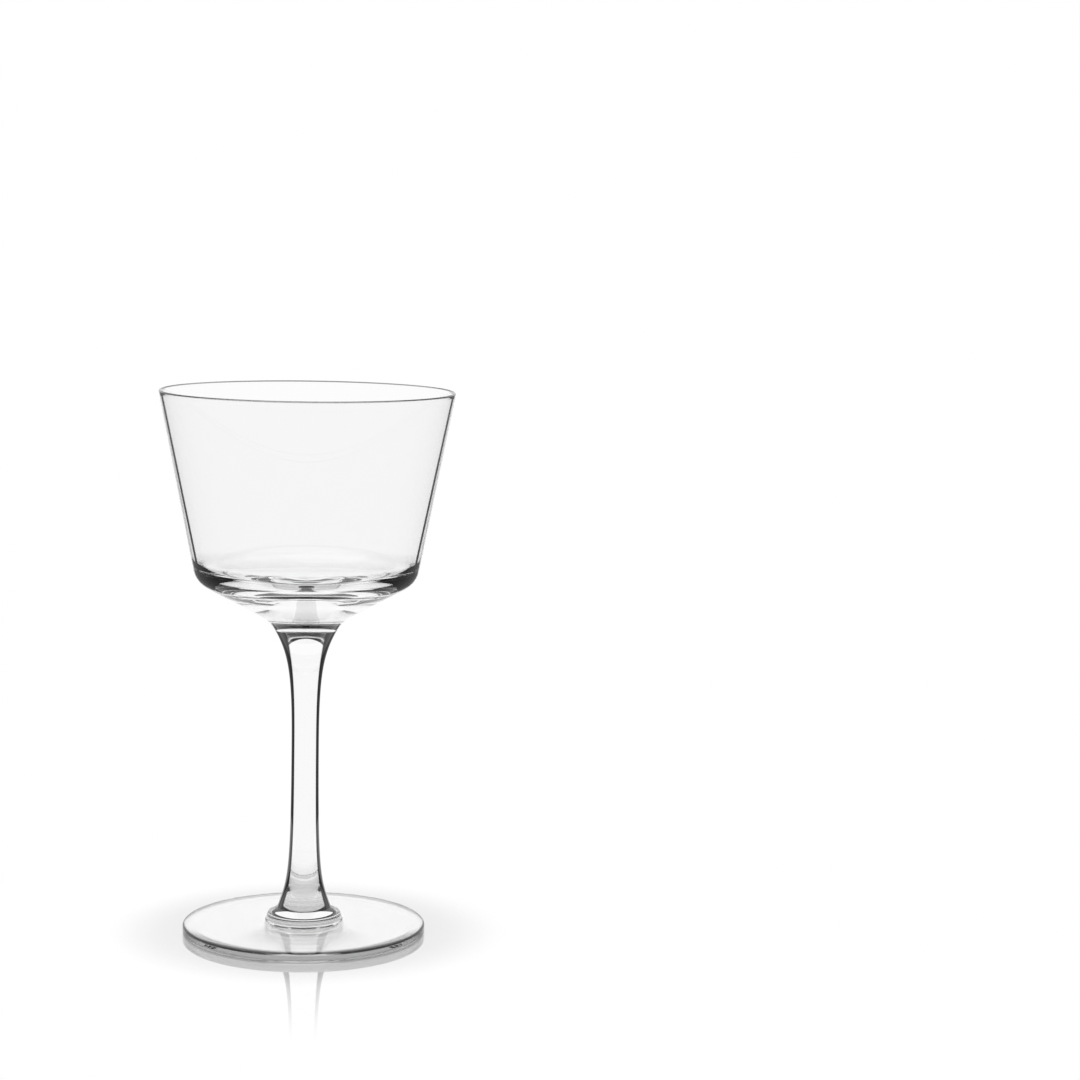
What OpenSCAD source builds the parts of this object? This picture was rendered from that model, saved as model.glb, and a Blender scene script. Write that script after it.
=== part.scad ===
// Nick and nora glass: a clear cocktail glass of three pieces of glass fused in the fire,
// a bowl, a stem and a foot. Every piece is one outline turned round the upright axis.
// All sizes are in millimetres. The origin is the centre of the foot's resting plane, +Z up.

/* [Overall] */
// Height of the glass, table to rim
total_h = 150; // [140:1:190]

/* [Bowl] */
// Outer diameter at the rim
rim_d = 80.2; // [72:0.1:90]
// Depth inside, rim to the middle of the floor
bowl_depth = 53; // [44:0.5:64]
// Thickness of the glass in the middle, floor to fused face
floor_thick = 12.5; // [10:0.5:16]
// Lean of the straight wall from upright, degrees
wall_angle = 11; // [6:0.5:14]
// Thickness of the wall at the rim
rim_wall = 0.8; // [0.6:0.05:1.6]
// Thickness of the wall at the level of the floor
low_wall = 1.35; // [0.8:0.05:2.4]
// Slope of the cone under the bowl, degrees below level
base_angle = 29; // [22:0.5:32]
// Outside radius of the shoulder between wall and cone
shoulder_r = 6; // [2:0.5:9]
// Inside radius of the corner between wall and floor
corner_r = 8.5; // [4:0.5:12]
// Radius of the floor's shallow dish
floor_r = 300; // [150:10:900]
// Radius that blends the cone into the neck
neck_blend_r = 9.7; // [5:0.1:12]

/* [Stem] */
// Diameter where the stem is fused to the bowl
neck_d = 17.1; // [12:0.1:20]
// Flare of the stem at the neck, degrees from upright
neck_angle = 29; // [15:1:40]
// Diameter of the stem at its waist
waist_d = 7.5; // [5.5:0.1:10]
// Height of the waist above the table
waist_h = 54; // [35:1:60]
// Length of the waist's pull upwards, as a share of the upper stem
upper_pull = 0.62; // [0.3:0.01:0.7]
// Length of the waist's pull downwards, as a share of the lower stem
lower_pull = 0.79; // [0.3:0.01:0.8]
// Length of the neck's flare, as a share of the upper stem
neck_pull = 0.24; // [0.1:0.01:0.29]
// Length of the ankle's flare, as a share of the lower stem
ankle_pull = 0.18; // [0.1:0.01:0.2]
// Diameter where the stem is fused to the foot
ankle_d = 14.7; // [10:0.1:17]
// Flare of the stem at the ankle, degrees from upright
ankle_angle = 20; // [10:1:40]

/* [Foot] */
// Diameter of the foot
foot_d = 66.8; // [58:0.1:80]
// Thickness of the foot at its edge
edge_h = 2.5; // [2:0.1:4]
// Radius of the foot's top edge
edge_top_r = 0.6; // [0.2:0.1:1]
// Radius of the foot's bottom edge
edge_low_r = 0.4; // [0.2:0.1:0.8]
// Rise of the foot's top from its edge to the button
top_rise = 1; // [0.3:0.1:2]
// Diameter of the button that carries the stem
button_d = 20.7; // [19:0.1:26]
// Height of the button's rounded side above the foot's top
button_side = 2.2; // [1:0.1:3]
// Radius of the button's rounded shoulder
button_r = 2.4; // [1:0.1:3]
// Radius in the corner between the foot's top and the button
button_blend = 0.5; // [0.2:0.1:1]
// Rise of the button's top from its shoulder to the stem
button_rise = 1.25; // [0.6:0.05:2]
// Width of the flat ring that the glass rests on
ring_w = 4.5; // [2:0.1:8]
// Depth of the hollow under the foot
hollow_h = 0.6; // [0.2:0.1:1]

/* [Hidden] */

// Steps in a curve of the outline, and round the axis
curve_steps = 32;
round_steps = 180;

// Levels where the pieces are fused, counted up from the table
top_level = edge_h + top_rise;
ankle_level = top_level + button_side + button_rise;
floor_level = total_h - bowl_depth;
neck_level = floor_level - floor_thick;

glass_tint = [0.86, 0.92, 0.92, 0.45];

// Direction of an angle in the outline's plane, counted from the outward direction
function direction(angle) = [cos(angle), sin(angle)];

// Point where the line through p along a meets the line through q along b
function crossing(p, a, q, b) =
    p + a * ((q[0] - p[0]) * b[1] - (q[1] - p[1]) * b[0]) / (a[0] * b[1] - a[1] * b[0]);

// Points of an arc, from the first angle to the last
function arc(centre, radius, first, last, steps = curve_steps) =
    [for (i = [0:steps]) centre + radius * direction(first + (last - first) * i / steps)];

// Point of a cubic curve that starts at a, is pulled by b and c, and ends at d
function cubic(a, b, c, d, t) =
    pow(1 - t, 3) * a + 3 * t * pow(1 - t, 2) * b + 3 * t * t * (1 - t) * c + pow(t, 3) * d;

function curve(a, b, c, d, steps = curve_steps) =
    [for (i = [0:steps]) cubic(a, b, c, d, i / steps)];

// Arc of the given radius that rounds the corner where two lines meet. The outline arrives
// along angle a and leaves along angle b, turning left when b is larger.
function rounding(corner, a, b, radius, steps = curve_steps) =
    let (turn = b > a ? 90 : -90)
    let (run = radius * tan(abs(b - a) / 2))
    let (centre = corner - run * direction(a) + radius * direction(a + turn))
    arc(centre, radius, a - turn, b - turn, steps);

// Outside of the bowl, from the fused face up to the start of the rim's round
rim_r = rim_wall / 2;
rim_centre = [rim_d / 2 - rim_r, total_h - rim_r];
neck_edge = [neck_d / 2, neck_level];
neck_blend_centre = neck_edge + neck_blend_r * direction(-neck_angle);
neck_blend = arc(neck_blend_centre, neck_blend_r, 180 - neck_angle, 90 + base_angle);
wall_top = rim_centre + rim_r * direction(-wall_angle);
shoulder = crossing(neck_blend[curve_steps], direction(base_angle), wall_top, direction(90 - wall_angle));

// Inside of the bowl, whose wall leans a little more because the glass thickens downwards
inner_angle = atan(tan(wall_angle) + (low_wall - rim_wall) / bowl_depth);
inner_top = rim_centre + rim_r * direction(180 - inner_angle);
floor_centre = [0, floor_level + floor_r];

// The corner's arc touches the inner wall and the floor's dish, so its centre lies corner_r
// inside both: on a line beside the wall, and on a circle round the dish's centre
corner_line = inner_top + corner_r * direction(180 - inner_angle);
wall_down = direction(270 - inner_angle);
along = (corner_line - floor_centre) * wall_down;
beside = (corner_line - floor_centre) * direction(-inner_angle);
corner_run = sqrt(pow(floor_r - corner_r, 2) - beside * beside) - along;
corner_centre = corner_line + corner_run * wall_down;
corner_end = atan2(corner_centre[1] - floor_centre[1], corner_centre[0] - floor_centre[0]);

module turned(outline) {
    rotate_extrude($fn = round_steps)
        polygon(outline);
}

module bowl() {
    outline = concat(
        [[0, neck_level]],
        neck_blend,
        rounding(shoulder, base_angle, 90 - wall_angle, shoulder_r),
        arc(rim_centre, rim_r, -wall_angle, 180 - inner_angle),
        arc(corner_centre, corner_r, -inner_angle, corner_end),
        arc(floor_centre, floor_r, corner_end, -90)
    );
    color(glass_tint)
        turned(outline);
}

// The stem draws in from both fused faces to its waist
module stem() {
    waist = [waist_d / 2, waist_h];
    ankle_edge = [ankle_d / 2, ankle_level];
    upper = neck_level - waist_h;
    lower = waist_h - ankle_level;
    outline = concat(
        [[0, ankle_level]],
        curve(
            ankle_edge,
            ankle_edge + ankle_pull * lower * direction(90 + ankle_angle),
            waist - [0, lower_pull * lower],
            waist
        ),
        curve(
            waist,
            waist + [0, upper_pull * upper],
            neck_edge - neck_pull * upper * direction(90 - neck_angle),
            neck_edge
        ),
        [[0, neck_level]]
    );
    color(glass_tint)
        turned(outline);
}

// The foot is a thin disc with a button in the middle and a shallow hollow underneath
module foot() {
    foot_r = foot_d / 2;
    side_r = button_d / 2;
    hollow_edge = foot_r - ring_w;
    hollow_r = (hollow_edge * hollow_edge + hollow_h * hollow_h) / (2 * hollow_h);
    hollow_start = acos(hollow_edge / hollow_r);
    top_angle = 180 - atan(top_rise / (foot_r - side_r));
    button_angle = 180 - atan(button_rise / (side_r - ankle_d / 2));
    outline = concat(
        arc([0, hollow_h - hollow_r], hollow_r, 90, hollow_start),
        rounding([foot_r, 0], 0, 90, edge_low_r),
        rounding([foot_r, edge_h], 90, top_angle, edge_top_r),
        rounding([side_r, top_level], top_angle, 90, button_blend),
        rounding([side_r, top_level + button_side], 90, button_angle, button_r),
        [[ankle_d / 2, ankle_level], [0, ankle_level]]
    );
    color(glass_tint)
        turned(outline);
}

bowl();
stem();
foot();
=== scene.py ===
"""Nick and nora glass: a bowl, a stem and a foot of clear glass, on a pale table in soft light.

Every piece is one outline turned round the upright axis. The frame gives the levels and the
outer sizes of the pieces, and the dataclass fields give the sizes in between. Lengths are in
metres and angles in degrees unless a name says otherwise.
"""

import logging
import math
from dataclasses import dataclass
from enum import Enum, IntEnum

import bpy
from mathutils import Matrix, Vector


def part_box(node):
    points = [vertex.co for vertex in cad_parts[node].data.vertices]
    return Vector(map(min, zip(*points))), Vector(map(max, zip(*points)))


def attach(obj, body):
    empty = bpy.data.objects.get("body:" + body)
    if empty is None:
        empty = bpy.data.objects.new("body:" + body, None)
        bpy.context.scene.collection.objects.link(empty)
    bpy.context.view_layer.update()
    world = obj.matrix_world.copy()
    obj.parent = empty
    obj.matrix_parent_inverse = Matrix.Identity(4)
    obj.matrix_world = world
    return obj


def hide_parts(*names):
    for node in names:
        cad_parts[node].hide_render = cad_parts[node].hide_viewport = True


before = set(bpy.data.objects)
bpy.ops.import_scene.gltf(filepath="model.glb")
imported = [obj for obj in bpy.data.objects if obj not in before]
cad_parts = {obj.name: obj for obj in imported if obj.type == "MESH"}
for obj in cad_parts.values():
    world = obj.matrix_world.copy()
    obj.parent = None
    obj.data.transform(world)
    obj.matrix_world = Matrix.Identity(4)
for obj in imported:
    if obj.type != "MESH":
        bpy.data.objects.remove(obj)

MM = 0.001
BODY = "root"

# Two points closer than this are one point
TOUCHING = 1e-7
# A step may be too long by this share of itself, so that rounding adds no point
SLACK = 1e-6

# Places of a Mix node's two colours among its inputs, and of its colour among its outputs
MIX_FIRST = 6
MIX_LAST = 7
MIX_RESULT = 2

BLACK = "#000000"

# Most turns that a ray of light takes in the glass, and most of them that are mirrorings. More
# mirrorings only add noise in the thick corner of the bowl.
MOST_TURNS = 16
MOST_MIRRORINGS = 6

log = logging.getLogger("nick_and_nora")


class Spacing(Enum):
    """How the points of a curved stretch are spread along it."""

    EVEN = "even"
    FINE_START = "fine start"
    FINE_BOTH = "fine at both ends"


class Side(IntEnum):
    """Where a face of a piece lies. The number is its material's place on the piece."""

    OUTSIDE = 0
    INSIDE = 1
    SEAM = 2


def shares(steps: int, spacing: Spacing) -> list[float]:
    """Spreads the points of a stretch between 0 and 1.

    Args:
        steps: number of steps.
        spacing: where the steps are short. A short step at a seam keeps the shading there
            true to the curve.

    Returns:
        steps + 1 rising numbers from 0 to 1.
    """
    even = [i / steps for i in range(steps + 1)]
    if spacing is Spacing.FINE_START:
        return [t * t for t in even]
    if spacing is Spacing.FINE_BOTH:
        return [(1 - math.cos(math.pi * t)) / 2 for t in even]
    return even


def direction(angle: float) -> Vector:
    """The unit vector at an angle from the outward direction, in the outline's plane."""
    return Vector((math.cos(math.radians(angle)), math.sin(math.radians(angle))))


def crossing(p: Vector, along: float, q: Vector, beside: float) -> Vector:
    """Finds where two lines of an outline meet.

    Args:
        p: a point of the first line.
        along: angle of the first line.
        q: a point of the second line.
        beside: angle of the second line.

    Returns:
        The point where they cross.
    """
    a, b = direction(along), direction(beside)
    gap = q - p
    return p + a * (gap.x * b.y - gap.y * b.x) / (a.x * b.y - a.y * b.x)


def arc(centre: Vector, radius: float, first: float, last: float, steps: int,
        spacing: Spacing = Spacing.EVEN) -> list[Vector]:
    """Lays the points of an arc.

    Args:
        centre: centre of the arc.
        radius: its radius.
        first: angle where it starts.
        last: angle where it ends.
        steps: number of steps along it.
        spacing: how the steps are spread.

    Returns:
        The points from first to last.
    """
    return [centre + radius * direction(first + (last - first) * t) for t in shares(steps, spacing)]


def rounding(corner: Vector, arrives: float, leaves: float, radius: float, steps: int) -> list[Vector]:
    """Rounds the corner where two lines of an outline meet.

    Args:
        corner: the sharp corner.
        arrives: angle along which the outline arrives.
        leaves: angle along which it leaves. It turns left when this is larger.
        radius: radius of the round.
        steps: number of steps along it.

    Returns:
        The points of the round.
    """
    turn = 90 if leaves > arrives else -90
    run = radius * math.tan(math.radians(abs(leaves - arrives) / 2))
    centre = corner - run * direction(arrives) + radius * direction(arrives + turn)
    return arc(centre, radius, arrives - turn, leaves - turn, steps)


def curve(a: Vector, b: Vector, c: Vector, d: Vector, steps: int) -> list[Vector]:
    """Lays the points of a cubic curve.

    Args:
        a: where the curve starts.
        b: the point that pulls its start.
        c: the point that pulls its end.
        d: where it ends.
        steps: number of steps along it.

    Returns:
        The points from a to d.
    """
    return [
        (1 - t) ** 3 * a + 3 * t * (1 - t) ** 2 * b + 3 * t * t * (1 - t) * c + t ** 3 * d
        for t in shares(steps, Spacing.FINE_BOTH)
    ]


def joined(stretches: list[list[Vector]], longest: float) -> list[Vector]:
    """Joins the stretches of an outline with straight lines.

    Args:
        stretches: lists of points, in order.
        longest: longest step that a straight line may take.

    Returns:
        All the points in order, with none twice.
    """
    points = [stretches[0][0]]
    for stretch in stretches:
        for point in stretch:
            gap = (point - points[-1]).length
            if gap < TOUCHING:
                continue
            pieces = max(1, math.ceil(gap / longest - SLACK))
            start = points[-1]
            points += [start + (point - start) * (i / pieces) for i in range(1, pieces)]
            points.append(point)
    return points


def pen_down(name: str, start: Vector) -> bpy.types.Object:
    """Starts a new mesh as one selected point, and leaves it in edit mode.

    Args:
        name: name of the new object and its mesh.
        start: where the point lies.

    Returns:
        The new object.
    """
    bpy.ops.object.select_all(action="DESELECT")
    bpy.ops.mesh.primitive_plane_add(size=MM, location=(0, 0, 0))
    made = bpy.context.active_object
    made.name = name
    made.data.name = name
    bpy.ops.object.mode_set(mode="EDIT")
    bpy.ops.mesh.select_all(action="SELECT")
    bpy.ops.mesh.merge(type="CENTER")
    bpy.ops.mesh.select_mode(type="VERT")
    bpy.ops.mesh.select_all(action="SELECT")
    bpy.ops.transform.translate(value=start)
    return made


def pen_step(step: Vector) -> None:
    """Draws a line from the last point of the mesh in edit mode."""
    bpy.ops.mesh.extrude_vertices_move(TRANSFORM_OT_translate={"value": step})


def linear(hexcode: str) -> tuple[float, float, float, float]:
    """Turns an sRGB hex colour into the linear colour that Blender's sockets take."""
    values = [int(hexcode[i:i + 2], 16) / 255 for i in (1, 3, 5)]
    return (*(v / 12.92 if v <= 0.04045 else ((v + 0.055) / 1.055) ** 2.4 for v in values), 1.0)


def add_node(tree: bpy.types.NodeTree, kind: str, values: dict[int | str, object] | None = None,
             links: dict[int | str, bpy.types.NodeSocket] | None = None,
             **settings: object) -> bpy.types.Node:
    """Adds one node to a tree.

    Args:
        tree: the node tree.
        kind: the node's type.
        values: numbers or colours by the name of the input that takes them.
        links: output sockets by the name of the input that they feed.
        **settings: the node's own settings.

    Returns:
        The new node.
    """
    made = tree.nodes.new(kind)
    for name, value in settings.items():
        setattr(made, name, value)
    for name, value in (values or {}).items():
        made.inputs[name].default_value = value
    for name, socket in (links or {}).items():
        tree.links.new(socket, made.inputs[name])
    return made


def feed(tree: bpy.types.NodeTree, target: bpy.types.NodeSocket,
         value: bpy.types.NodeSocket | float) -> None:
    """Gives an input its value.

    Args:
        tree: the node tree.
        target: the input.
        value: a socket to link or a number to set.
    """
    if isinstance(value, bpy.types.NodeSocket):
        tree.links.new(value, target)
    else:
        target.default_value = value


def new_material(name: str) -> tuple[bpy.types.Material, bpy.types.NodeTree]:
    """Makes a material with an empty node tree.

    Args:
        name: name of the material.

    Returns:
        The material and its tree.
    """
    material = bpy.data.materials.new(name)
    material.use_nodes = True
    material.node_tree.nodes.clear()
    return material, material.node_tree


def eased(tree: bpy.types.NodeTree, value: bpy.types.NodeSocket, first: float,
          last: float) -> bpy.types.NodeSocket:
    """Gives 0 up to the first value and 1 from the last, with a soft change between them.

    Args:
        tree: the node tree.
        value: the value that is looked at.
        first: where the change starts.
        last: where it ends, which may be the smaller of the two.

    Returns:
        The socket with the share.
    """
    return add_node(
        tree, "ShaderNodeMapRange", interpolation_type="SMOOTHSTEP",
        links={"Value": value}, values={"From Min": first, "From Max": last},
    ).outputs["Result"]


def between(tree: bpy.types.NodeTree, share: bpy.types.NodeSocket,
            first: bpy.types.NodeSocket | float,
            last: bpy.types.NodeSocket | float) -> bpy.types.NodeSocket:
    """Goes from the first value to the last as the share goes from 0 to 1.

    Args:
        tree: the node tree.
        share: the share.
        first: the value at 0, a socket or a number.
        last: the value at 1, a socket or a number.

    Returns:
        The socket with the result.
    """
    made = add_node(tree, "ShaderNodeMapRange", links={"Value": share})
    feed(tree, made.inputs["To Min"], first)
    feed(tree, made.inputs["To Max"], last)
    return made.outputs["Result"]


def tinted(tree: bpy.types.NodeTree, share: bpy.types.NodeSocket, first: str,
           last: str) -> bpy.types.NodeSocket:
    """Goes from the first colour to the last as the share goes from 0 to 1.

    Args:
        tree: the node tree.
        share: the share.
        first: the colour at 0, in sRGB hex.
        last: the colour at 1, in sRGB hex.

    Returns:
        The socket with the colour.
    """
    return add_node(
        tree, "ShaderNodeMix", data_type="RGBA",
        links={"Factor": share}, values={MIX_FIRST: linear(first), MIX_LAST: linear(last)},
    ).outputs[MIX_RESULT]


def turned_away(tree: bpy.types.NodeTree) -> bpy.types.NodeSocket:
    """Gives 0 where the surface faces the eye and 1 where it's seen edge-on."""
    return add_node(tree, "ShaderNodeLayerWeight", values={"Blend": 0.5}).outputs["Facing"]


def calculated(tree: bpy.types.NodeTree, operation: str, first: bpy.types.NodeSocket,
               second: bpy.types.NodeSocket | float = 0.0) -> bpy.types.NodeSocket:
    """Adds one sum to a tree.

    Args:
        tree: the node tree.
        operation: the sum's name in Blender.
        first: the first value.
        second: the second value, a socket or a number.

    Returns:
        The socket with the result.
    """
    made = add_node(tree, "ShaderNodeMath", operation=operation, links={0: first})
    feed(tree, made.inputs[1], second)
    return made.outputs[0]


def seen_directly(tree: bpy.types.NodeTree) -> bpy.types.NodeSocket:
    """Tells what the eye sees from what only lights the scene.

    Args:
        tree: the node tree.

    Returns:
        A socket that is 1 for rays from the camera and for those that glass mirrors or bends.
    """
    path = add_node(tree, "ShaderNodeLightPath").outputs
    turned = calculated(tree, "MAXIMUM", path["Is Glossy Ray"], path["Is Transmission Ray"])
    return calculated(tree, "MAXIMUM", path["Is Camera Ray"], turned)


@dataclass(frozen=True)
class CrystalGlass:
    """Lead-free crystal, fire-polished.

    The flame leaves the surface smooth enough to act as a mirror and a lens, with a faint
    waviness where the hot glass moved. It takes away a little of the light that crosses it.
    """

    name: str = "fire_polished_crystal"
    colour: str = "#FCFCFC"
    ior: float = 1.52
    wave_width: float = 16 * MM
    wave_height: float = 0.004 * MM

    # The share it gives is painted shade: it tints the glass's colour towards black.
    def painted_shade_share(self, tree: bpy.types.NodeTree) -> bpy.types.NodeSocket | None:
        """Says where the glass's edge is drawn dark.

        Args:
            tree: the material's node tree.

        Returns:
            A socket that is 1 on a dark edge and 0 elsewhere, or None if there is no edge.
        """
        return None

    def make(self) -> bpy.types.Material:
        """Makes the material.

        Returns:
            The material.
        """
        material, tree = new_material(self.name)
        place = add_node(tree, "ShaderNodeTexCoord").outputs["Object"]
        waves = add_node(
            tree, "ShaderNodeTexNoise",
            values={"Scale": 1 / self.wave_width, "Detail": 0.0, "Roughness": 0.5},
            links={"Vector": place},
        )
        moved = add_node(
            tree, "ShaderNodeBump",
            values={"Strength": 1.0, "Distance": self.wave_height},
            links={"Height": waves.outputs["Fac"]},
        )
        shader = add_node(
            tree, "ShaderNodeBsdfPrincipled",
            values={
                "Base Color": linear(self.colour),
                "Roughness": 0.0,
                "IOR": self.ior,
                "Transmission Weight": 1.0,
            },
            links={"Normal": moved.outputs["Normal"]},
        )
        # A finish's share tints the glass's colour towards black, which is painted shade on its edges.
        dark = self.painted_shade_share(tree)
        if dark is not None:
            feed(tree, shader.inputs["Base Color"], tinted(tree, dark, self.colour, BLACK))
        add_node(tree, "ShaderNodeOutputMaterial", links={"Surface": shader.outputs["BSDF"]})
        return material


@dataclass(frozen=True)
class BlownCrystal(CrystalGlass):
    """Crystal blown into a thin wall, as the outside of the bowl has.

    Seen edge-on, a thin wall shows a fine dark line where its inner face turns from the eye.
    Here that line is painted shade: the glass's colour is tinted black where the surface is
    turned from the eye by a set amount. The line lies deeper where the wall is thicker, so it
    stands off the edge towards the floor. The round of the rim is a tiny lens, which shows as a
    thin grey ring; that ring is painted shade too, a grey tint set by height.
    """

    name: str = "blown_crystal"
    rim_level: float = 150 * MM
    # These place the painted shade line, by how far the surface turns from the eye, and the painted
    # grey rim ring, by height.
    low_level: float = 100 * MM
    rim_line: float = 0.175
    low_line: float = 0.273
    line_half: float = 0.025
    line_fade: float = 0.015
    shoulder_from: float = 94.5 * MM
    shoulder_to: float = 98.5 * MM
    rim_from: float = 149.5 * MM
    rim_to: float = 149.7 * MM
    rim_painted_shade: float = 0.85

    def painted_shade_share(self, tree: bpy.types.NodeTree) -> bpy.types.NodeSocket:
        """Draws the line over the straight wall, leaves the cone clear and greys the rim.

        Args:
            tree: the material's node tree.

        Returns:
            The socket with the dark share.
        """
        place = add_node(tree, "ShaderNodeTexCoord").outputs["Object"]
        level = add_node(tree, "ShaderNodeSeparateXYZ", links={"Vector": place}).outputs["Z"]
        line = add_node(
            tree, "ShaderNodeMapRange", clamp=False, links={"Value": level},
            values={
                "From Min": self.low_level,
                "From Max": self.rim_level,
                "To Min": 1 - self.low_line,
                "To Max": 1 - self.rim_line,
            },
        ).outputs["Result"]
        # Painted shade line: 1 where the surface turns from the eye by about the line's amount.
        off = calculated(tree, "ABSOLUTE", calculated(tree, "SUBTRACT", turned_away(tree), line))
        beside = eased(tree, off, self.line_half + self.line_fade, self.line_half)
        wall = eased(tree, level, self.shoulder_from, self.shoulder_to)
        # The rim's grey ring is painted shade, set by height.
        rim = eased(tree, level, self.rim_from, self.rim_to)
        ring = calculated(tree, "MULTIPLY", rim, self.rim_painted_shade)
        return calculated(tree, "MAXIMUM", calculated(tree, "MULTIPLY", beside, wall), ring)


@dataclass(frozen=True)
class DrawnCrystal(CrystalGlass):
    """Crystal drawn out into a solid rod, as the stem is.

    A rod is a strong lens. Its middle shows what is behind it. The thin black line along either
    side is painted shade: the glass's colour is tinted black where the side turns from the eye,
    standing in for the dark of the room beside it.
    """

    name: str = "drawn_crystal"
    # Where the painted shade lines start and reach full black, by how far the side turns from the eye.
    edge_from: float = 0.36
    edge_to: float = 0.42

    def painted_shade_share(self, tree: bpy.types.NodeTree) -> bpy.types.NodeSocket:
        """Draws the lines where the rod's side turns from the eye."""
        # Painted shade: the glass turns black where the side turns from the eye.
        return eased(tree, turned_away(tree), self.edge_from, self.edge_to)


@dataclass(frozen=True)
class SpunCrystal(CrystalGlass):
    """Crystal spun out flat into a thin disc, as the foot is.

    Light that runs along inside the disc leaves through its upright side, which looks grey,
    and darker at the two tips where the side turns from the eye. Both are painted shade: the
    glass's colour is tinted grey on the side, set by radius, and darker where it turns from
    the eye.
    """

    name: str = "spun_crystal"
    # The side's painted grey shade comes in between these radii; the tips' painted dark is set by how
    # far the side turns from the eye.
    side_from: float = 32.7 * MM
    side_to: float = 33.1 * MM
    side_painted_shade: float = 0.6
    tip_from: float = 0.5
    tip_to: float = 0.8

    def painted_shade_share(self, tree: bpy.types.NodeTree) -> bpy.types.NodeSocket:
        """Greys the disc's side and darkens its tips.

        Args:
            tree: the material's node tree.

        Returns:
            The socket with the dark share.
        """
        place = add_node(tree, "ShaderNodeTexCoord").outputs["Object"]
        across = add_node(
            tree, "ShaderNodeVectorMath", operation="MULTIPLY",
            links={0: place}, values={1: (1.0, 1.0, 0.0)},
        ).outputs["Vector"]
        radius = add_node(
            tree, "ShaderNodeVectorMath", operation="LENGTH", links={0: across}
        ).outputs["Value"]
        # Painted shade: grey on the disc's side, darker at its tips.
        side = eased(tree, radius, self.side_from, self.side_to)
        tips = eased(tree, turned_away(tree), self.tip_from, self.tip_to)
        return calculated(tree, "MULTIPLY", side, between(tree, tips, self.side_painted_shade, 1.0))


@dataclass(frozen=True)
class FusedSeam:
    """Glass fused to glass in the fire.

    The two pieces are one body of glass there, so light crosses the seam as if nothing were
    there, which an alpha of 0 says.
    """

    name: str = "fused_seam"

    def make(self) -> bpy.types.Material:
        """Makes the material.

        Returns:
            The material.
        """
        material, tree = new_material(self.name)
        shader = add_node(
            tree, "ShaderNodeBsdfPrincipled",
            values={
                "Base Color": (1.0, 1.0, 1.0, 1.0),
                "Roughness": 0.0,
                "Transmission Weight": 1.0,
                "Alpha": 0.0,
            },
        )
        add_node(tree, "ShaderNodeOutputMaterial", links={"Surface": shader.outputs["BSDF"]})
        return material


@dataclass(frozen=True)
class SheetTable:
    """Pale acrylic sheet, extruded and polished, lit from above and glowing from below.

    Its polish mirrors the stem, and less so under the foot. Its glow is seen only by the camera
    and through the glass. In a ring round the foot, but not under it, the glow is weaker: a
    painted shadow, the soft shade that the glass stands in. Further off the mirror fades and the
    glow runs into the white surround.
    """

    name: str = "pale_acrylic_sheet"
    colour: str = "#DCDCDC"
    under_mirror: float = 0.3
    mirror: float = 0.5
    mirror_roughness: float = 0.02
    # Glow under the foot, in the painted shadow ring round it, and beyond that ring.
    under_glow: float = 0.8
    painted_shadow_glow: float = 0.5
    clear_glow: float = 0.78
    under_to: float = 31 * MM
    shade_from: float = 34 * MM
    shade_to: float = 36 * MM
    clear_from: float = 58 * MM
    fade_from: float = 30 * MM
    fade_to: float = 105 * MM

    def make(self) -> bpy.types.Material:
        """Makes the material.

        Returns:
            The material.
        """
        material, tree = new_material(self.name)
        place = add_node(tree, "ShaderNodeTexCoord").outputs["Object"]
        away = add_node(
            tree, "ShaderNodeVectorMath", operation="LENGTH", links={0: place}
        ).outputs["Value"]
        beside = eased(tree, away, self.under_to, self.shade_from)
        clear = eased(tree, away, self.shade_to, self.clear_from)
        far = eased(tree, away, self.fade_from, self.fade_to)
        # The glow dips in the ring round the foot: a painted shadow.
        around = between(tree, clear, self.painted_shadow_glow, self.clear_glow)
        glow = between(tree, far, between(tree, beside, self.under_glow, around), 1.0)
        polish = between(tree, far, between(tree, beside, self.under_mirror, self.mirror), 0.0)
        sheet = add_node(
            tree, "ShaderNodeBsdfPrincipled",
            values={"Specular IOR Level": 0.0, "Emission Color": (1.0, 1.0, 1.0, 1.0)},
            links={
                "Base Color": tinted(tree, far, self.colour, BLACK),
                "Emission Strength": calculated(tree, "MULTIPLY", seen_directly(tree), glow),
            },
        )
        mirror = add_node(
            tree, "ShaderNodeBsdfAnisotropic",
            values={"Color": (1.0, 1.0, 1.0, 1.0), "Roughness": self.mirror_roughness},
        )
        surface = add_node(
            tree, "ShaderNodeMixShader",
            links={0: polish, 1: sheet.outputs[0], 2: mirror.outputs[0]},
        )
        add_node(tree, "ShaderNodeOutputMaterial", links={"Surface": surface.outputs[0]})
        return material


@dataclass(frozen=True)
class StudioCloth:
    """Woven cotton cloth, dyed, which gives clear glass its darks.

    It's drawn as an even tone with no shading, since only what the glass shows of it counts.
    """

    name: str
    colour: str

    def make(self) -> bpy.types.Material:
        """Makes the material.

        Returns:
            The material.
        """
        material, tree = new_material(self.name)
        tone = add_node(
            tree, "ShaderNodeEmission", values={"Color": linear(self.colour), "Strength": 1.0}
        )
        add_node(tree, "ShaderNodeOutputMaterial", links={"Surface": tone.outputs[0]})
        return material


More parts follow.
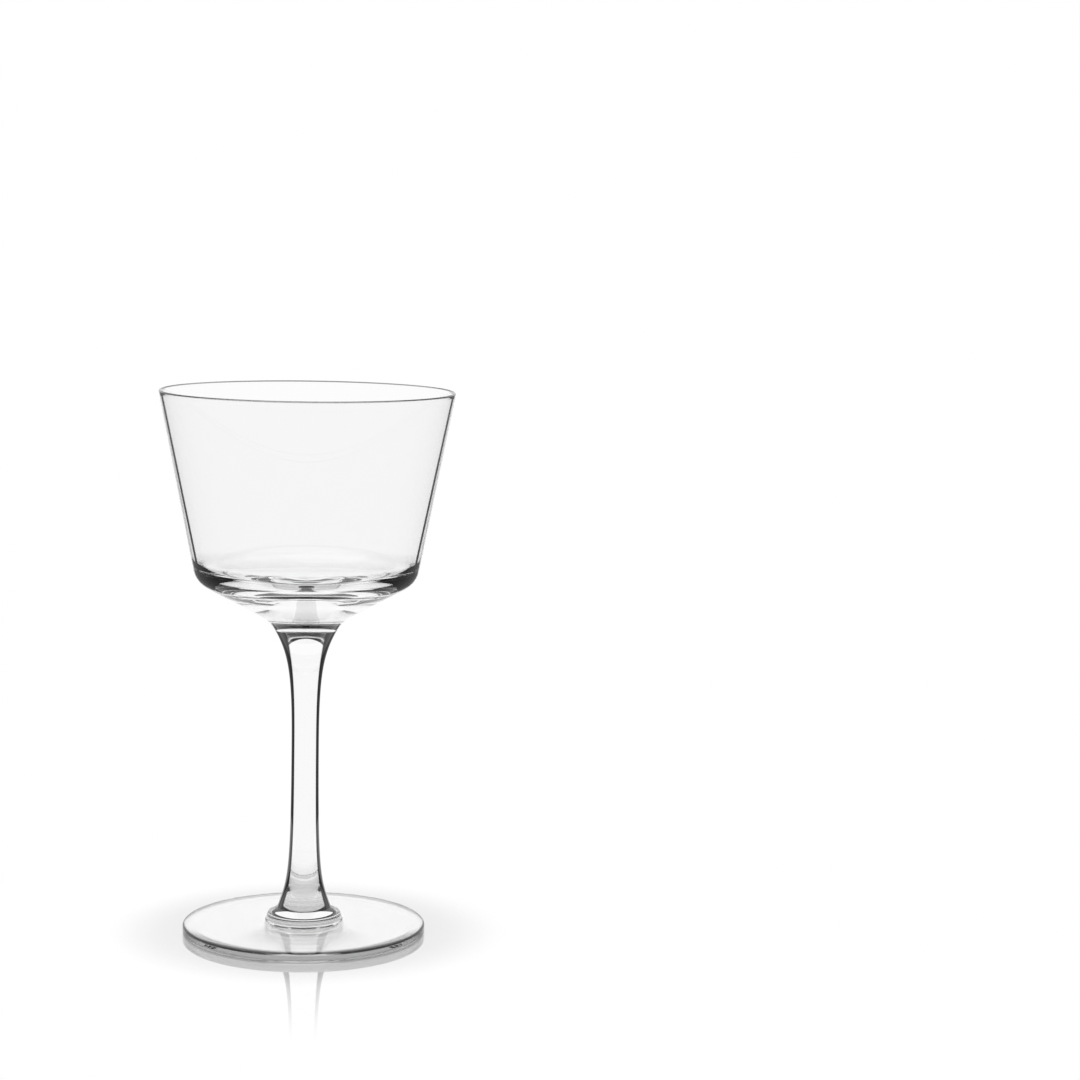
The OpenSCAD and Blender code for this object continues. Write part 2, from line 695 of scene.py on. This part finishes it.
@dataclass
class TurnedPiece:
    """A piece of glass that is one outline turned round the upright axis."""

    node: str
    glass: bpy.types.Material
    inside: bpy.types.Material
    seam: bpy.types.Material
    turns: int = 256
    longest_step: float = 1.2 * MM
    smooth_angle: float = 15.0
    crown_h: float = 0.4 * MM
    seam_slack: float = 0.001 * MM
    flat_from: float = 0.999

    def outline(self) -> list[Vector]:
        """Gives the outline, from axis to axis, with the glass on its left."""
        raise NotImplementedError

    def seam_levels(self) -> list[float]:
        """Gives the levels of the flat faces that are fused to a neighbour."""
        raise NotImplementedError

    def build(self) -> bpy.types.Object:
        """Draws the outline point by point, turns it and dresses it.

        Returns:
            The finished piece, which stands for its CAD node.
        """
        points = self.outline()
        piece = pen_down(self.node + "_glass", Vector((points[0].x, 0, points[0].y)))
        for before, after in zip(points, points[1:]):
            pen_step(Vector((after.x - before.x, 0, after.y - before.y)))
        bpy.ops.mesh.select_all(action="SELECT")
        bpy.ops.mesh.spin(
            steps=self.turns, angle=2 * math.pi, center=(0, 0, 0), axis=(0, 0, 1),
            use_auto_merge=False,
        )
        bpy.ops.mesh.select_all(action="SELECT")
        bpy.ops.mesh.remove_doubles(threshold=TOUCHING)
        bpy.ops.mesh.select_all(action="SELECT")
        bpy.ops.mesh.normals_make_consistent(inside=False)
        bpy.ops.object.mode_set(mode="OBJECT")
        self.dress(piece)
        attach(piece, BODY)
        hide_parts(self.node)
        log.info("%s: %d faces", piece.name, len(piece.data.polygons))
        return piece

    def dress(self, piece: bpy.types.Object) -> None:
        """Shades the piece smooth and tells its outside, its inside and its seams apart.

        The crown, which is the top of the piece all round, counts as outside.

        Args:
            piece: the piece, active and in object mode.
        """
        bpy.ops.object.shade_smooth_by_angle(angle=math.radians(self.smooth_angle))
        finishes = {Side.OUTSIDE: self.glass, Side.INSIDE: self.inside, Side.SEAM: self.seam}
        for side in Side:
            piece.data.materials.append(finishes[side])
        levels = self.seam_levels()
        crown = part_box(self.node)[1].z - self.crown_h
        for face in piece.data.polygons:
            flat = abs(face.normal.z) > self.flat_from
            if flat and any(abs(face.center.z - z) < self.seam_slack for z in levels):
                face.material_index = Side.SEAM
            elif face.normal.xy.dot(face.center.xy) < 0 and face.center.z < crown:
                face.material_index = Side.INSIDE


@dataclass
class Bowl(TurnedPiece):
    """The bowl: a thin straight wall over a thick dished floor, on a short cone."""

    neck_r: float = 8.55 * MM
    neck_angle: float = 29.0
    neck_blend_r: float = 9.7 * MM
    base_angle: float = 29.0
    shoulder_r: float = 6.0 * MM
    wall_angle: float = 11.0
    rim_wall: float = 0.8 * MM
    low_wall: float = 1.35 * MM
    depth: float = 53.0 * MM
    corner_r: float = 8.5 * MM
    floor_r: float = 300.0 * MM
    neck_steps: int = 28
    shoulder_steps: int = 32
    rim_steps: int = 18
    corner_steps: int = 36
    floor_steps: int = 18

    def seam_levels(self) -> list[float]:
        """The bowl is fused to the stem at its lowest level."""
        return [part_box(self.node)[0].z]

    def outline(self) -> list[Vector]:
        """Goes out over the neck and the cone, up the wall, over the rim and down inside.

        Returns:
            The outline's points.
        """
        low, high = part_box(self.node)
        rim_r = self.rim_wall / 2
        rim_centre = Vector((high.x - rim_r, high.z - rim_r))
        neck = Vector((self.neck_r, low.z))
        blend_centre = neck + self.neck_blend_r * direction(-self.neck_angle)
        blend = arc(blend_centre, self.neck_blend_r, 180 - self.neck_angle, 90 + self.base_angle,
                    self.neck_steps, Spacing.FINE_START)
        wall_top = rim_centre + rim_r * direction(-self.wall_angle)
        shoulder = crossing(blend[-1], self.base_angle, wall_top, 90 - self.wall_angle)

        lean = math.tan(math.radians(self.wall_angle)) + (self.low_wall - self.rim_wall) / self.depth
        inner_angle = math.degrees(math.atan(lean))
        inner_top = rim_centre + rim_r * direction(180 - inner_angle)
        floor_centre = Vector((0, high.z - self.depth + self.floor_r))
        line = inner_top + self.corner_r * direction(180 - inner_angle)
        down = direction(270 - inner_angle)
        along = (line - floor_centre).dot(down)
        beside = (line - floor_centre).dot(direction(-inner_angle))
        run = math.sqrt((self.floor_r - self.corner_r) ** 2 - beside ** 2) - along
        corner_centre = line + run * down
        to_corner = corner_centre - floor_centre
        corner_end = math.degrees(math.atan2(to_corner.y, to_corner.x))
        return joined(
            [
                [Vector((0, low.z))],
                blend,
                rounding(shoulder, self.base_angle, 90 - self.wall_angle, self.shoulder_r,
                         self.shoulder_steps),
                arc(rim_centre, rim_r, -self.wall_angle, 180 - inner_angle, self.rim_steps),
                arc(corner_centre, self.corner_r, -inner_angle, corner_end, self.corner_steps),
                arc(floor_centre, self.floor_r, corner_end, -90, self.floor_steps),
            ],
            self.longest_step,
        )


@dataclass
class Stem(TurnedPiece):
    """The stem: solid glass, drawn thin at its waist and flared into bowl and foot."""

    neck_angle: float = 29.0
    waist_r: float = 3.75 * MM
    waist_level: float = 54.0 * MM
    upper_pull: float = 0.62
    lower_pull: float = 0.79
    neck_pull: float = 0.24
    ankle_pull: float = 0.18
    ankle_r: float = 7.35 * MM
    ankle_angle: float = 20.0
    curve_steps: int = 64

    def seam_levels(self) -> list[float]:
        """The stem is fused to the foot at its lowest level and to the bowl at its highest."""
        low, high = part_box(self.node)
        return [low.z, high.z]

    def outline(self) -> list[Vector]:
        """Goes out along the foot's seam, up the side and in along the bowl's seam.

        Returns:
            The outline's points.
        """
        low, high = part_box(self.node)
        waist = Vector((self.waist_r, self.waist_level))
        ankle = Vector((self.ankle_r, low.z))
        neck = Vector((high.x, high.z))
        upper, lower = high.z - waist.y, waist.y - low.z
        return joined(
            [
                [Vector((0, low.z))],
                curve(ankle, ankle + self.ankle_pull * lower * direction(90 + self.ankle_angle),
                      waist - Vector((0, self.lower_pull * lower)), waist, self.curve_steps),
                curve(waist, waist + Vector((0, self.upper_pull * upper)),
                      neck - self.neck_pull * upper * direction(90 - self.neck_angle), neck,
                      self.curve_steps),
                [Vector((0, high.z))],
            ],
            self.longest_step,
        )


@dataclass
class Foot(TurnedPiece):
    """The foot: a thin round disc with a button in the middle and a hollow underneath."""

    edge_h: float = 2.5 * MM
    edge_top_r: float = 0.6 * MM
    edge_low_r: float = 0.4 * MM
    top_rise: float = 1.0 * MM
    button_r: float = 10.35 * MM
    button_side: float = 2.2 * MM
    button_round: float = 2.4 * MM
    button_blend: float = 0.5 * MM
    ankle_r: float = 7.35 * MM
    ring_w: float = 4.5 * MM
    hollow_h: float = 0.6 * MM
    hollow_steps: int = 30
    edge_low_steps: int = 10
    edge_top_steps: int = 12
    blend_steps: int = 10
    button_steps: int = 24

    def seam_levels(self) -> list[float]:
        """The foot is fused to the stem at its highest level."""
        return [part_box(self.node)[1].z]

    def outline(self) -> list[Vector]:
        """Goes out under the foot, round its edge and in over the button.

        Returns:
            The outline's points.
        """
        low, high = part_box(self.node)
        hollow_edge = high.x - self.ring_w
        hollow_r = (hollow_edge ** 2 + self.hollow_h ** 2) / (2 * self.hollow_h)
        hollow_start = math.degrees(math.acos(hollow_edge / hollow_r))
        top_level = self.edge_h + self.top_rise
        top_angle = 180 - math.degrees(math.atan(self.top_rise / (high.x - self.button_r)))
        rise = high.z - top_level - self.button_side
        button_angle = 180 - math.degrees(math.atan(rise / (self.button_r - self.ankle_r)))
        edge_low = Vector((high.x, low.z))
        edge_top = Vector((high.x, self.edge_h))
        corner = Vector((self.button_r, top_level))
        shoulder = Vector((self.button_r, top_level + self.button_side))
        return joined(
            [
                arc(Vector((0, self.hollow_h - hollow_r)), hollow_r, 90, hollow_start,
                    self.hollow_steps),
                rounding(edge_low, 0, 90, self.edge_low_r, self.edge_low_steps),
                rounding(edge_top, 90, top_angle, self.edge_top_r, self.edge_top_steps),
                rounding(corner, top_angle, 90, self.button_blend, self.blend_steps),
                rounding(shoulder, 90, button_angle, self.button_round, self.button_steps),
                [Vector((self.ankle_r, high.z))],
                [Vector((0, high.z))],
            ],
            self.longest_step,
        )


@dataclass
class Glass:
    """The whole glass, in the order in which it is worked: bowl, stem, foot."""

    blown: BlownCrystal = BlownCrystal()
    drawn: DrawnCrystal = DrawnCrystal()
    spun: SpunCrystal = SpunCrystal()
    inside: CrystalGlass = CrystalGlass()
    seam: FusedSeam = FusedSeam()

    def build(self) -> list[bpy.types.Object]:
        """Builds the three pieces.

        Returns:
            The bowl, the stem and the foot.
        """
        inside, seam = self.inside.make(), self.seam.make()
        return [
            Bowl("bowl", self.blown.make(), inside, seam).build(),
            Stem("stem", self.drawn.make(), inside, seam).build(),
            Foot("foot", self.spun.make(), inside, seam).build(),
        ]


@dataclass
class Studio:
    """The table, the white surround, the two cloths, the lamp and the camera."""

    table: SheetTable = SheetTable()
    table_half: float = 6.0
    table_level: float = -0.01 * MM
    surround: str = "#FFFFFF"
    fill: float = 0.25
    overhead: StudioCloth = StudioCloth("black_cotton_cloth", BLACK)
    overhead_level: float = 1.0
    overhead_radius: float = 1.8
    overhead_sides: int = 96
    runner: StudioCloth = StudioCloth("grey_cotton_cloth", "#959595")
    runner_level: float = 0.05 * MM
    runner_from: float = 150 * MM
    runner_to: float = 3.0
    runner_gap: float = 38.0
    runner_step: float = 3.0
    lamp_watts: float = 3.0
    lamp_size: float = 1.2
    lamp_place: tuple[float, float, float] = (-0.3, -0.2, 1.4)
    camera_sensor_mm: float = 36.0
    camera_lens_mm: float = 91.85
    camera_reach: tuple[float, float] = (0.01, 50.0)
    camera_place: tuple[float, float, float] = (0.0, -747.85 * MM, 203.62 * MM)
    camera_pitch: float = 7.134
    camera_yaw: float = 4.875
    camera_roll: float = 1.05

    def build(self) -> None:
        """Builds everything that isn't the glass."""
        self.build_table()
        self.build_surround()
        self.build_overhead()
        self.build_runner()
        self.build_lamp()
        self.build_camera()

    def build_table(self) -> None:
        """Lays the table top a hair under the foot, so that the two faces never coincide."""
        bpy.ops.object.select_all(action="DESELECT")
        bpy.ops.mesh.primitive_plane_add(
            size=2 * self.table_half, location=(0, 0, self.table_level)
        )
        top = bpy.context.active_object
        top.name = "table_top"
        top.data.materials.append(self.table.make())

    def build_surround(self) -> None:
        """Makes the world white to the eye and the glass, and weaker as a lamp."""
        world = bpy.data.worlds.new("white_surround")
        world.use_nodes = True
        tree = world.node_tree
        tree.nodes.clear()
        sky = add_node(
            tree, "ShaderNodeBackground",
            values={"Color": linear(self.surround)},
            links={"Strength": between(tree, seen_directly(tree), self.fill, 1.0)},
        )
        add_node(tree, "ShaderNodeOutputWorld", links={"Surface": sky.outputs[0]})
        bpy.context.scene.world = world

    def build_overhead(self) -> None:
        """Hangs a round black cloth over the glass, seen only through the glass itself."""
        bpy.ops.object.select_all(action="DESELECT")
        bpy.ops.mesh.primitive_circle_add(
            vertices=self.overhead_sides, radius=self.overhead_radius, fill_type="NGON",
            location=(0, 0, self.overhead_level),
        )
        hung = bpy.context.active_object
        hung.name = "overhead_cloth"
        hung.data.materials.append(self.overhead.make())
        hung.visible_camera = False
        hung.visible_diffuse = False
        hung.visible_glossy = False
        hung.visible_shadow = False

    def build_runner(self) -> None:
        """Lays a grey cloth round the glass, seen only where its surface mirrors the table.

        It leaves a gap behind the glass, so that the outermost edges mirror white.
        """
        edge = direction(90 - self.runner_gap / 2).to_3d()
        start = edge * self.runner_from
        start.z = self.runner_level
        laid = pen_down("runner_cloth", start)
        pen_step(edge * (self.runner_to - self.runner_from))
        bpy.ops.mesh.select_all(action="SELECT")
        sweep = 360 - self.runner_gap
        bpy.ops.mesh.spin(
            steps=round(sweep / self.runner_step), angle=math.radians(sweep),
            center=(0, 0, 0), axis=(0, 0, 1),
        )
        bpy.ops.object.mode_set(mode="OBJECT")
        laid.data.materials.append(self.runner.make())
        laid.visible_camera = False
        laid.visible_diffuse = False
        laid.visible_transmission = False
        laid.visible_shadow = False

    def build_lamp(self) -> None:
        """Hangs one wide soft lamp over the table."""
        lamp = bpy.data.lights.new("overhead_softbox", "AREA")
        lamp.shape = "SQUARE"
        lamp.size = self.lamp_size
        lamp.energy = self.lamp_watts
        hung = bpy.data.objects.new("overhead_softbox", lamp)
        hung.location = self.lamp_place
        hung.rotation_euler = (Vector((0, 0, 0)) - hung.location).to_track_quat("-Z", "Y").to_euler()
        bpy.context.scene.collection.objects.link(hung)

    def build_camera(self) -> None:
        """Sets the camera where the photograph was taken from."""
        camera = bpy.data.cameras.new("camera")
        camera.sensor_width = self.camera_sensor_mm
        camera.lens = self.camera_lens_mm
        camera.clip_start, camera.clip_end = self.camera_reach
        held = bpy.data.objects.new("camera", camera)
        turn = (
            Matrix.Rotation(math.radians(-self.camera_yaw), 4, "Z")
            @ Matrix.Rotation(math.radians(90 - self.camera_pitch), 4, "X")
            @ Matrix.Rotation(math.radians(self.camera_roll), 4, "Z")
        )
        held.matrix_world = Matrix.Translation(self.camera_place) @ turn
        bpy.context.scene.collection.objects.link(held)
        bpy.context.scene.camera = held


def main() -> None:
    """Builds the glass and the studio."""
    logging.basicConfig(level=logging.INFO, format="%(name)s: %(message)s")
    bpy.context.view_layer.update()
    scene = bpy.context.scene
    scene.view_settings.view_transform = "Standard"
    scene.cycles.max_bounces = MOST_TURNS
    scene.cycles.glossy_bounces = MOST_MIRRORINGS
    scene.cycles.transmission_bounces = MOST_TURNS
    scene.cycles.transparent_max_bounces = MOST_TURNS
    Studio().build()
    Glass().build()


if __name__ == "__main__":
    main()
